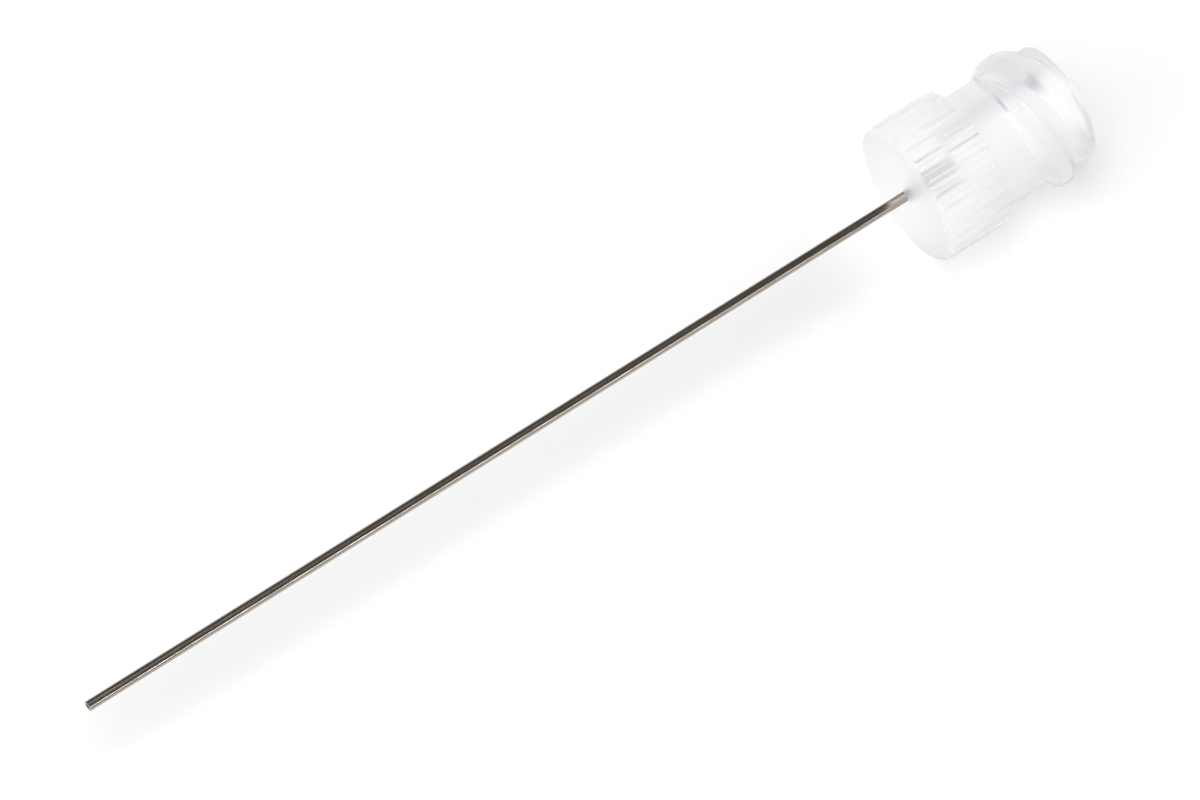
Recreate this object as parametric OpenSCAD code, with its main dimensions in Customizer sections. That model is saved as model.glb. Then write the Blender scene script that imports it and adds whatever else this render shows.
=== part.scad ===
// Dispensing needle tip: a moulded lock hub with a tapered socket, and a blunt steel cannula.
// Millimetres. The tip lies on its collar along X, cannula end at -X, socket mouth at +X, floor at Z = 0.

/* [Cannula] */
// Outside diameter of the steel tube
cannula_d = 0.566; // [0.40:0.001:0.80]
// Bore of the steel tube
cannula_bore_d = 0.311; // [0.15:0.001:0.35]
// Free length, from the square-cut end to the hub's front face
cannula_free = 51; // [12:0.5:80]
// How much the buried end swells in diameter, so that it can't pull out
cannula_flare = 0.06; // [0.02:0.01:0.20]

/* [Collar] */
// Diameter over the crests between the flutes
collar_d = 7.95; // [7.90:0.05:9.00]
// Length along the axis
collar_len = 4.02; // [3.40:0.01:4.60]
// Rounding of the front edge
collar_front_round = 0.40; // [0.20:0.05:0.80]
// Rounding of the rear edge
collar_rear_round = 0.10; // [0.05:0.05:0.30]
// Number of grip flutes
flute_count = 30; // [18:1:36]
// Width of one flute across its mouth
flute_w = 0.52; // [0.30:0.02:0.60]
// Depth of one flute
flute_depth = 0.11; // [0.06:0.01:0.16]

/* [Neck] */
// Length of the whole hub
hub_len = 9.96; // [9.90:0.01:12.00]
// Diameter of the neck, which is the root of the lock thread
neck_d = 6.55; // [6.20:0.05:6.80]
// Rounding of the outer edge at the mouth
mouth_round = 0.20; // [0.05:0.05:0.40]

/* [Socket] */
// Diameter of the tapered socket at the mouth
socket_d = 4.30; // [4.27:0.005:4.40]
// Loss of diameter per unit of length
socket_taper = 0.06; // [0.05:0.005:0.07]
// Depth of the socket
socket_depth = 7.50; // [6.50:0.05:7.80]
// Chamfer at the socket mouth
socket_chamfer = 0.15; // [0.05:0.05:0.30]

/* [Lock thread] */
// Diameter over the thread crests
thread_d = 7.75; // [7.20:0.05:7.83]
// Advance in one full turn
thread_lead = 5.00; // [4.50:0.10:5.50]
// Width of one ridge where it meets the neck
ridge_base_w = 1.75; // [1.30:0.05:1.90]
// Width of one ridge at its crest
ridge_crest_w = 0.78; // [0.50:0.02:1.00]
// Softening of the crest's two edges
ridge_edge = 0.09; // [0.03:0.01:0.15]
// Where the thread begins, from the front face
thread_from = 6.04; // [5.60:0.01:6.60]
// Where the thread ends, from the front face
thread_to = 9.48; // [9.00:0.01:9.80]
// How far a ridge's centre line runs past each end of the thread
thread_overrun = 0.28; // [0.10:0.02:0.80]
// Turn of the thread against the flutes, in degrees
thread_phase = 0; // [-6:0.5:6]

/* [Hidden] */
thread_starts = 2;
section_step = 6;
collar_r = collar_d / 2;
neck_r = neck_d / 2;
thread_r = thread_d / 2;
// a flute is a round groove: this cutter passes the flute's two lips and its floor
lip_x = sqrt(collar_r * collar_r - flute_w * flute_w / 4);
lip_rise = lip_x - (collar_r - flute_depth);
flute_r = (lip_rise * lip_rise + flute_w * flute_w / 4) / (2 * lip_rise);
// the lowest points of the lying hub are the two lips of the flute that faces the floor
rest_h = lip_x;
rest_turn = 270;
total_len = cannula_free + hub_len;
front_x = cannula_free - total_len / 2;
socket_floor_z = hub_len - socket_depth;
socket_floor_r = (socket_d - socket_taper * socket_depth) / 2;
buried = socket_floor_z;
flare_r = (cannula_d + cannula_flare) / 2;
// one ridge: its centre line passes ridge_mid from the front face at ridge_turn round the axis
ridge_mid = 7.88;
ridge_turn = 200.8 + thread_phase;
ridge_h = thread_r - neck_r;
ridge_slope = (ridge_base_w - ridge_crest_w) / 2 / ridge_h;
root_sink = 0.30;
first_turn = ridge_turn + 360 * (thread_from - thread_overrun - ridge_mid) / thread_lead;
last_turn = ridge_turn + 360 * (thread_to + thread_overrun - ridge_mid) / thread_lead;
section_count = ceil((last_turn - first_turn) / section_step);
section_turn = (last_turn - first_turn) / section_count;

// a ridge's outline in the plane through the axis: [radius, offset along the axis]
ridge_outline = [
    [neck_r - root_sink, -ridge_base_w / 2 - root_sink * ridge_slope],
    [thread_r - ridge_edge, -ridge_crest_w / 2 - ridge_edge * ridge_slope],
    [thread_r, -ridge_crest_w / 2 + ridge_edge],
    [thread_r, ridge_crest_w / 2 - ridge_edge],
    [thread_r - ridge_edge, ridge_crest_w / 2 + ridge_edge * ridge_slope],
    [neck_r - root_sink, ridge_base_w / 2 + root_sink * ridge_slope],
];
corner_count = len(ridge_outline);

function ridge_z(turn) = ridge_mid + thread_lead * (turn - ridge_turn) / 360;

function ridge_point(turn, corner) = [
    corner[0] * cos(turn),
    corner[0] * sin(turn),
    ridge_z(turn) + corner[1],
];

// a ring of corners for each section, in order along the ridge
function ridge_points() = [
    for (i = [0 : section_count])
        for (corner = ridge_outline)
            ridge_point(first_turn + i * section_turn, corner),
];

function ridge_faces() = concat(
    [
        for (i = [0 : section_count - 1])
            for (j = [0 : corner_count - 1])
                let (a = i * corner_count + j, b = i * corner_count + (j + 1) % corner_count)
                    for (face = [[a, b, b + corner_count], [a, b + corner_count, a + corner_count]])
                        face,
    ],
    [[for (j = [corner_count - 1 : -1 : 0]) j]],
    [[for (j = [0 : corner_count - 1]) section_count * corner_count + j]]
);

// stands a turned shape, drawn along Z from its front face, into its place on the floor
module laid_down() {
    translate([front_x, 0, rest_h])
        rotate([90, 0, 90])
            children();
}

module collar_body() {
    difference() {
        rotate_extrude($fn = 96) {
            translate([0, collar_front_round])
                square([collar_r, collar_len - collar_front_round - collar_rear_round]);
            square([collar_r - collar_front_round, collar_len]);
            translate([0, collar_len / 2])
                square([collar_r - collar_rear_round, collar_len / 2]);
            translate([collar_r - collar_front_round, collar_front_round])
                circle(r = collar_front_round, $fn = 48);
            translate([collar_r - collar_rear_round, collar_len - collar_rear_round])
                circle(r = collar_rear_round, $fn = 48);
        }
        for (i = [0 : flute_count - 1])
            rotate([0, 0, rest_turn + i * 360 / flute_count])
                translate([lip_x - lip_rise + flute_r, 0, -1])
                    cylinder(r = flute_r, h = collar_len + 2, $fn = 48);
    }
}

module neck_body() {
    rotate_extrude($fn = 96) {
        translate([0, collar_len / 2])
            square([neck_r, hub_len - collar_len / 2 - mouth_round]);
        translate([0, collar_len / 2])
            square([neck_r - mouth_round, hub_len - collar_len / 2]);
        translate([neck_r - mouth_round, hub_len - mouth_round])
            circle(r = mouth_round, $fn = 48);
    }
}

// the ridges run full height between two square ends, so each rises out of the front one
module lock_thread() {
    intersection() {
        for (k = [0 : thread_starts - 1])
            rotate([0, 0, k * 360 / thread_starts])
                polyhedron(points = ridge_points(), faces = ridge_faces(), convexity = 8);
        translate([0, 0, thread_from])
            cylinder(r = thread_r + 1, h = thread_to - thread_from, $fn = 96);
    }
}

module socket_space() {
    translate([0, 0, socket_floor_z])
        cylinder(r1 = socket_floor_r, r2 = socket_d / 2, h = socket_depth, $fn = 96);
    translate([0, 0, hub_len - socket_chamfer])
        cylinder(r1 = socket_d / 2 - socket_taper * socket_chamfer / 2,
            r2 = socket_d / 2 + socket_chamfer, h = socket_chamfer, $fn = 96);
    translate([0, 0, hub_len])
        cylinder(r = socket_d / 2 + socket_chamfer, h = 1, $fn = 96);
}

module cannula_outside() {
    translate([0, 0, -cannula_free])
        cylinder(r = cannula_d / 2, h = cannula_free, $fn = 64);
    cylinder(r1 = cannula_d / 2, r2 = flare_r, h = buried, $fn = 64);
}

module hub() {
    color([0.93, 0.94, 0.94, 0.55])
        laid_down()
            difference() {
                union() {
                    collar_body();
                    neck_body();
                    lock_thread();
                }
                socket_space();
                cylinder(r1 = cannula_d / 2, r2 = flare_r, h = buried, $fn = 64);
            }
}

module cannula() {
    color([0.72, 0.71, 0.69])
        laid_down()
            difference() {
                cannula_outside();
                translate([0, 0, -cannula_free - 1])
                    cylinder(r = cannula_bore_d / 2, h = cannula_free + buried + 2, $fn = 48);
            }
}

hub();
cannula();
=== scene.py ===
import math

import bpy
from mathutils import Matrix, Vector


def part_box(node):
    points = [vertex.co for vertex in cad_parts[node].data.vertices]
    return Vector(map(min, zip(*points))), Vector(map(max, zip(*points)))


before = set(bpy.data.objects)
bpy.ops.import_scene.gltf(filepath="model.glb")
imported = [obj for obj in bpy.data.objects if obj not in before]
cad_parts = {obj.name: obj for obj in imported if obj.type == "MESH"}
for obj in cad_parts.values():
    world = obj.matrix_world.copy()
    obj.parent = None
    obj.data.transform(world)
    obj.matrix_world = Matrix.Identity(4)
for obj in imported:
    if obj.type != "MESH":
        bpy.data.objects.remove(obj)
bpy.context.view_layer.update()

MM = 0.001
WHITE = (1.0, 1.0, 1.0)

# ---------------------------------------------------------------- places from the frame
cannula_low, cannula_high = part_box("cannula")
hub_low, hub_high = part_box("hub")
AXIS_HEIGHT = (cannula_low.z + cannula_high.z) / 2
CENTRE = Vector(((hub_high.x + cannula_low.x) / 2, 0.0, AXIS_HEIGHT))

# ---------------------------------------------------------------- camera
# The angles, in degrees, the distance and the lens are fitted to the photograph's outline.
CAMERA_AZIMUTH = -39.293
CAMERA_ELEVATION = 64.636
CAMERA_ROLL = 4.5
CAMERA_DISTANCE = 513.9 * MM
CAMERA_LENS = 300.74
SENSOR_WIDTH = 36.0
CLIP_START = 0.01
CLIP_END = 20.0
# How far right of the part's centre, and above it, the middle of the view lies.
AIM_RIGHT = 0.958 * MM
AIM_UP = -0.082 * MM


def make_camera():
    """Places the camera at the photograph's angle, with depth of field off."""
    azimuth = math.radians(CAMERA_AZIMUTH)
    elevation = math.radians(CAMERA_ELEVATION)
    roll = math.radians(CAMERA_ROLL)
    back = Vector(
        (
            math.sin(azimuth) * math.cos(elevation),
            -math.cos(azimuth) * math.cos(elevation),
            math.sin(elevation),
        )
    )
    level = back.cross(Vector((0, 0, -1))).normalized()
    upright = level.cross(-back)
    right = math.cos(roll) * level + math.sin(roll) * upright
    up = right.cross(-back)
    target = CENTRE + AIM_RIGHT * right + AIM_UP * up
    camera = bpy.data.objects.new("camera", bpy.data.cameras.new("camera"))
    camera.data.sensor_width = SENSOR_WIDTH
    camera.data.lens = CAMERA_LENS
    camera.data.dof.use_dof = False
    camera.data.clip_start = CLIP_START
    camera.data.clip_end = CLIP_END
    camera.rotation_mode = "QUATERNION"
    camera.location = target + back * CAMERA_DISTANCE
    camera.rotation_quaternion = Matrix((right, up, back)).transposed().to_quaternion()
    bpy.context.scene.collection.objects.link(camera)
    bpy.context.scene.camera = camera


make_camera()

# ---------------------------------------------------------------- node trees
# The mix node has its own pair of inputs and its own output for each kind of data.
VALUE_FIRST = 2
VALUE_SECOND = 3
VALUE_RESULT = 0
COLOUR_FIRST = 6
COLOUR_SECOND = 7
COLOUR_RESULT = 2

# Noise between these two values is spread over a range. Beyond them it takes the range's end.
NOISE_MIDDLE = (0.3, 0.7)


class Nodes:
    """A short way to build a node tree."""

    def __init__(self, tree):
        self.tree = tree

    def add(self, kind, inputs=None, **settings):
        """Adds a node. A socket given for an input is linked to it, and a value is set on it."""
        node = self.tree.nodes.new(kind)
        for key, value in settings.items():
            setattr(node, key, value)
        for key, value in (inputs or {}).items():
            if isinstance(value, bpy.types.NodeSocket):
                self.tree.links.new(value, node.inputs[key])
            else:
                node.inputs[key].default_value = value
        return node

    def maths(self, operation, first, second):
        node = self.add("ShaderNodeMath", operation=operation, inputs={0: first, 1: second})
        return node.outputs[0]

    def spread(self, value, source, target, shape="LINEAR"):
        """Maps value from the source range to the target range. Each is a low and a high end."""
        node = self.add(
            "ShaderNodeMapRange",
            interpolation_type=shape,
            inputs={
                "Value": value,
                "From Min": source[0],
                "From Max": source[1],
                "To Min": target[0],
                "To Max": target[1],
            },
        )
        return node.outputs["Result"]

    def blend_values(self, share, first, second):
        node = self.add(
            "ShaderNodeMix",
            inputs={"Factor": share, VALUE_FIRST: first, VALUE_SECOND: second},
        )
        return node.outputs[VALUE_RESULT]

    def blend_colours(self, share, first, second):
        """Mixes two colours. Each is a socket, or a triple of red, green and blue."""
        ends = []
        for colour in (first, second):
            ends.append(colour if isinstance(colour, bpy.types.NodeSocket) else (*colour, 1))
        node = self.add(
            "ShaderNodeMix",
            data_type="RGBA",
            inputs={"Factor": share, COLOUR_FIRST: ends[0], COLOUR_SECOND: ends[1]},
        )
        return node.outputs[COLOUR_RESULT]


def new_material(name):
    """Returns a material with an empty node tree, and a builder for that tree."""
    material = bpy.data.materials.new(name)
    material.use_nodes = True
    material.node_tree.nodes.clear()
    return material, Nodes(material.node_tree)


# ---------------------------------------------------------------- the hub's hazy clear plastic
# Roughness at the low and the high end of the cloudy noise.
COLLAR_HAZE = (0.52, 0.62)
THREAD_HAZE = (0.40, 0.48)
SOCKET_HAZE = (0.04, 0.08)
# Where one haze meets the next: behind the front face, and out from the axis.
COLLAR_LENGTH = 4.02 * MM
FRONT_SKIN = 1.0 * MM
SOCKET_REACH = 2.6 * MM
# Scales of noise are in cells to the metre.
CLOUD_SCALE = 420.0
GRAIN_SCALE = 8000.0
GRAIN_HEIGHT = 0.012 * MM
HUB_COOL = (0.978, 0.985, 1.0)
HUB_WARM = (0.996, 0.992, 0.985)
HUB_IOR = 1.49
CLEAR_SHARE = 0.92
# The share of a lamp's light that goes straight on at each surface of the hub, into its shadow.
SHADOW_PASS = 0.33


def hub_material():
    """Hazy clear plastic, roughest on the collar, less so on the thread, smooth in the socket."""
    material, n = new_material("hub_plastic")
    place = n.add("ShaderNodeTexCoord").outputs["Object"]
    cloud = n.add(
        "ShaderNodeTexNoise",
        inputs={"Vector": place, "Scale": CLOUD_SCALE, "Detail": 3.0, "Roughness": 0.55},
    ).outputs["Fac"]
    part = n.add("ShaderNodeSeparateXYZ", inputs={0: place})
    along = part.outputs["X"]
    height = n.maths("SUBTRACT", part.outputs["Z"], AXIS_HEIGHT)
    across = n.add("ShaderNodeCombineXYZ", inputs={"Y": part.outputs["Y"], "Z": height})
    radius = n.add(
        "ShaderNodeVectorMath", operation="LENGTH", inputs={0: across.outputs[0]}
    ).outputs["Value"]

    near_axis = n.maths("LESS_THAN", radius, SOCKET_REACH)
    behind_front = n.maths("GREATER_THAN", along, hub_low.x + FRONT_SKIN)
    in_socket = n.maths("MULTIPLY", near_axis, behind_front)
    on_collar = n.maths("LESS_THAN", along, hub_low.x + COLLAR_LENGTH)
    thread_haze = n.spread(cloud, NOISE_MIDDLE, THREAD_HAZE)
    collar_haze = n.spread(cloud, NOISE_MIDDLE, COLLAR_HAZE)
    outside_haze = n.blend_values(on_collar, thread_haze, collar_haze)
    socket_haze = n.spread(cloud, NOISE_MIDDLE, SOCKET_HAZE)
    haze = n.blend_values(in_socket, outside_haze, socket_haze)

    tint = n.blend_colours(cloud, HUB_COOL, HUB_WARM)
    grain = n.add(
        "ShaderNodeTexNoise",
        inputs={"Vector": place, "Scale": GRAIN_SCALE, "Detail": 2.0, "Roughness": 0.5},
    ).outputs["Fac"]
    skin = n.add(
        "ShaderNodeBump",
        inputs={"Strength": 1.0, "Distance": GRAIN_HEIGHT, "Height": grain},
    )
    shader = n.add(
        "ShaderNodeBsdfPrincipled",
        inputs={
            "Base Color": tint,
            "Normal": skin.outputs["Normal"],
            "Roughness": haze,
            "IOR": HUB_IOR,
            "Transmission Weight": CLEAR_SHARE,
        },
    )
    shadow_ray = n.add("ShaderNodeLightPath").outputs["Is Shadow Ray"]
    passed = n.maths("MULTIPLY", shadow_ray, SHADOW_PASS)
    open_air = n.add("ShaderNodeBsdfTransparent")
    surface = n.add(
        "ShaderNodeMixShader",
        inputs={0: passed, 1: shader.outputs[0], 2: open_air.outputs[0]},
    )
    n.add("ShaderNodeOutputMaterial", inputs={"Surface": surface.outputs[0]})
    return material


# ---------------------------------------------------------------- the cannula's drawn steel
# The noise's coordinates are squeezed along the tube, which draws it out into long lines.
DRAW_SQUEEZE = (0.02, 1.0, 1.0)
DRAW_SCALE = 26000.0
DRAW_HEIGHT = 0.0008 * MM
STEEL_ROUGHNESS = (0.12, 0.22)
STEEL_DARK = (0.34, 0.297, 0.255)
STEEL_LIGHT = (0.48, 0.437, 0.394)


def steel_material():
    """Drawn stainless tube: fine lines along its length and a warm grey colour."""
    material, n = new_material("cannula_steel")
    place = n.add("ShaderNodeTexCoord").outputs["Object"]
    squeezed = n.add("ShaderNodeMapping", inputs={"Vector": place, "Scale": DRAW_SQUEEZE})
    lines = n.add(
        "ShaderNodeTexNoise",
        inputs={"Vector": squeezed.outputs[0], "Scale": DRAW_SCALE, "Detail": 2.0},
    ).outputs["Fac"]
    shine = n.spread(lines, NOISE_MIDDLE, STEEL_ROUGHNESS)
    tint = n.blend_colours(lines, STEEL_DARK, STEEL_LIGHT)
    draw = n.add(
        "ShaderNodeBump",
        inputs={"Strength": 1.0, "Distance": DRAW_HEIGHT, "Height": lines},
    )
    shader = n.add(
        "ShaderNodeBsdfPrincipled",
        inputs={
            "Base Color": tint,
            "Metallic": 1.0,
            "Roughness": shine,
            "Normal": draw.outputs["Normal"],
        },
    )
    n.add("ShaderNodeOutputMaterial", inputs={"Surface": shader.outputs[0]})
    return material


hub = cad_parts["hub"]
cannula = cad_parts["cannula"]
for node_object, material in ((hub, hub_material()), (cannula, steel_material())):
    node_object.data.materials.clear()
    node_object.data.materials.append(material)

# ---------------------------------------------------------------- floor
# Half the floor's side, in metres. Its edge is far outside the photograph's view.
FLOOR_HALF = 6.0
FLOOR_PALE = (0.80, 0.80, 0.80)


def floor_material():
    """A pale matt floor. It is white in reflections and to the camera, and glows through plastic."""
    material, n = new_material("floor")
    light_path = n.add("ShaderNodeLightPath")
    through = light_path.outputs["Is Transmission Ray"]
    direct = n.maths(
        "MAXIMUM", light_path.outputs["Is Camera Ray"], light_path.outputs["Is Glossy Ray"]
    )
    seen = n.maths("MAXIMUM", direct, through)
    colour = n.blend_colours(seen, FLOOR_PALE, WHITE)
    matt = n.add("ShaderNodeBsdfDiffuse", inputs={"Color": colour})
    glow = n.add("ShaderNodeEmission", inputs={"Color": (*WHITE, 1), "Strength": 1.0})
    surface = n.add(
        "ShaderNodeMixShader",
        inputs={0: through, 1: matt.outputs[0], 2: glow.outputs[0]},
    )
    n.add("ShaderNodeOutputMaterial", inputs={"Surface": surface.outputs[0]})
    material.cycles.emission_sampling = "NONE"
    return material


def make_floor():
    mesh = bpy.data.meshes.new("floor")
    signs = ((-1, -1), (1, -1), (1, 1), (-1, 1))
    corners = [(x * FLOOR_HALF, y * FLOOR_HALF, 0) for x, y in signs]
    mesh.from_pydata(corners, [], [(0, 1, 2, 3)])
    floor = bpy.data.objects.new("floor", mesh)
    floor.data.materials.append(floor_material())
    bpy.context.scene.collection.objects.link(floor)


# ---------------------------------------------------------------- the room around the part
ROOM_DIM = (0.13, 0.13, 0.13)
# What clear plastic sees of the room: on the near side, and far behind the part.
THROUGH_NEAR = (1.03, 1.03, 1.02)
THROUGH_FAR = (0.07, 0.11, 0.19)
# Directions have length one. The far look comes in over this range of their Y.
FAR_RANGE = (0.1, 0.7)
# A share of the far look comes in over this range of their Z.
HIGH_RANGE = (0.35, 0.80)
HIGH_SHARE = 0.30
# Where the white below gives way to the room, in degrees above level.
HORIZON_DEGREES = (0.1, 0.6)


def make_world():
    """A dim room above a white horizon. Clear plastic sees it pale, darker behind and above."""
    world = bpy.data.worlds.new("studio")
    bpy.context.scene.world = world
    world.use_nodes = True
    world.cycles.sampling_method = "NONE"
    n = Nodes(world.node_tree)
    where = n.add("ShaderNodeTexCoord").outputs["Generated"]
    split = n.add("ShaderNodeSeparateXYZ", inputs={0: where})
    behind = n.spread(split.outputs["Y"], FAR_RANGE, (0.0, 1.0), shape="SMOOTHSTEP")
    above = n.spread(split.outputs["Z"], HIGH_RANGE, (0.0, HIGH_SHARE), shape="SMOOTHSTEP")
    darker = n.maths("MAXIMUM", behind, above)
    seen_through = n.blend_colours(darker, THROUGH_NEAR, THROUGH_FAR)
    through = n.add("ShaderNodeLightPath").outputs["Is Transmission Ray"]
    room = n.blend_colours(through, ROOM_DIM, seen_through)
    horizon = [math.sin(math.radians(angle)) for angle in HORIZON_DEGREES]
    risen = n.spread(split.outputs["Z"], horizon, (0.0, 1.0), shape="SMOOTHSTEP")
    sky = n.blend_colours(risen, WHITE, room)
    background = world.node_tree.nodes["Background"]
    world.node_tree.links.new(sky, background.inputs["Color"])
    background.inputs["Strength"].default_value = 1.0


# ---------------------------------------------------------------- lamps
STRIP_COLOUR = (1.0, 0.95, 0.89)


def make_lamp(name, direction, distance, width, height, radiance, colour=WHITE):
    """A rectangular lamp that faces the part, as bright as radiance wherever it is seen.

    The direction is from the part's centre. The distance, width and height are in metres.
    """
    light = bpy.data.lights.new(name, "AREA")
    light.shape = "RECTANGLE"
    light.size = width
    light.size_y = height
    light.energy = radiance * math.pi * width * height
    light.color = colour
    holder = bpy.data.objects.new(name, light)
    holder.rotation_mode = "QUATERNION"
    holder.location = CENTRE + Vector(direction).normalized() * distance
    holder.rotation_quaternion = (CENTRE - holder.location).to_track_quat("-Z", "Y")
    bpy.context.scene.collection.objects.link(holder)


make_floor()
make_world()
make_lamp(
    "key",
    direction=(-0.17, 0.04, 1.0),
    distance=1.8,
    width=1.5,
    height=1.0,
    radiance=3.05,
)
make_lamp(
    "fill_left",
    direction=(-0.75, 0.0, 0.66),
    distance=2.2,
    width=2.4,
    height=2.0,
    radiance=1.95,
)
make_lamp(
    "fill_right",
    direction=(0.86, 0.0, 0.50),
    distance=2.2,
    width=1.0,
    height=2.0,
    radiance=2.6,
)
make_lamp(
    "fill_near",
    direction=(-0.40, -0.80, 0.45),
    distance=2.2,
    width=1.3,
    height=1.0,
    radiance=1.4,
)
make_lamp(
    "strip",
    direction=(0.255, -0.86, 0.42),
    distance=1.2,
    width=0.26,
    height=0.12,
    radiance=8.5,
    colour=STRIP_COLOUR,
)

bpy.context.scene.view_settings.view_transform = "Standard"
